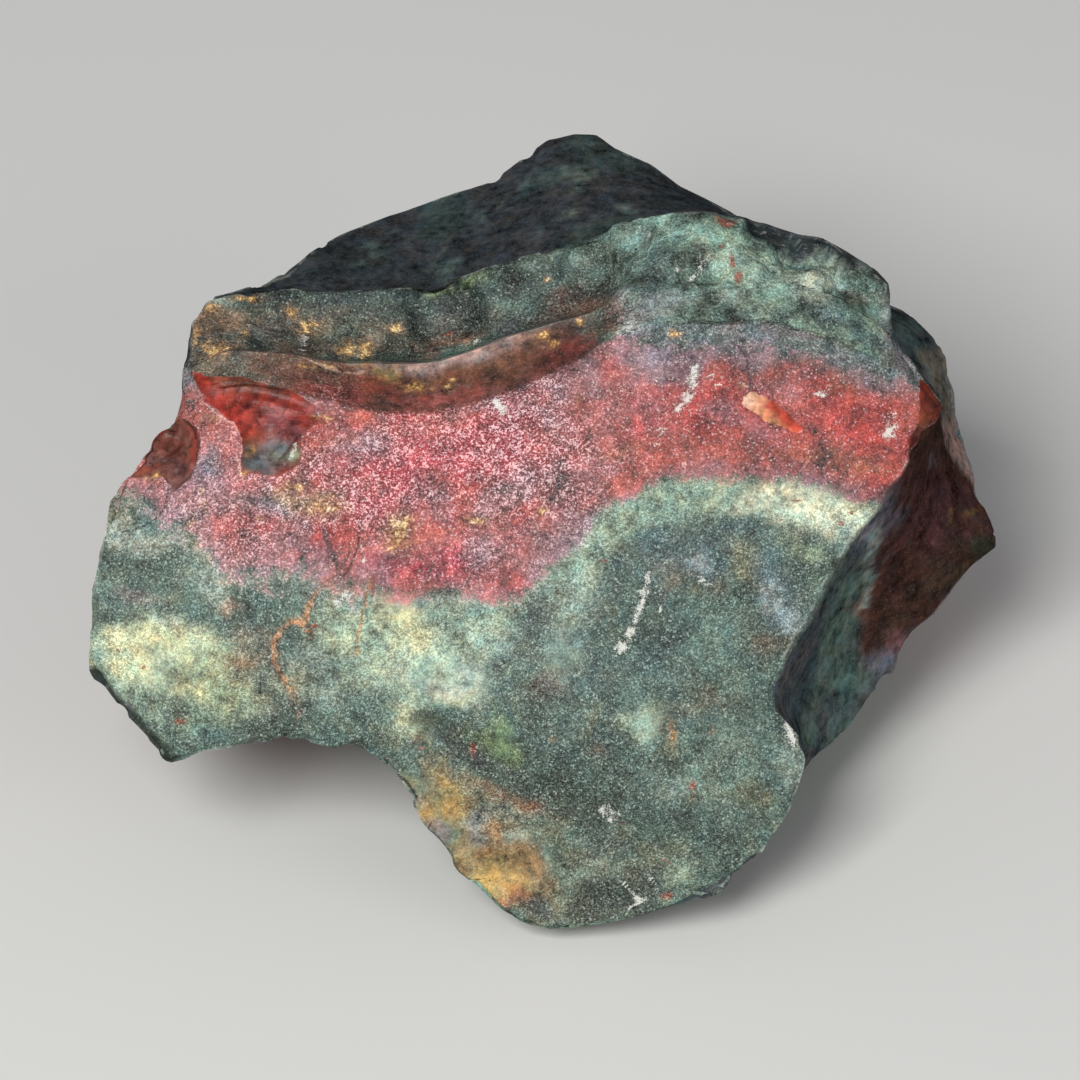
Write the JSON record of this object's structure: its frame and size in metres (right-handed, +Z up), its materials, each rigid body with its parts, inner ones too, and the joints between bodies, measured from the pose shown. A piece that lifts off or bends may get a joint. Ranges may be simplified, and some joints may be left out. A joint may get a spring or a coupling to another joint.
{
  "type": "bloodstone",
  "caption": "Raw chunk of green and red chalcedony, broken on every side, with a broad grainy face that leans back above a flat patch it rests on.",
  "frame": {"origin": "middle of the stone's bounding box, on the plane that it rests on", "axes": "+X to the right as the broad broken face is seen, +Y from that face towards the back, +Z up"},
  "size_m": [0.0767, 0.0659, 0.0471],
  "materials": {
    "stone": "opaque chalcedony: grainy and dull on the broken face, smooth and waxy in the flake scars"
  },
  "bodies": {
    "root": {"bloodstone": "stone"}
  },
  "joints": []
}
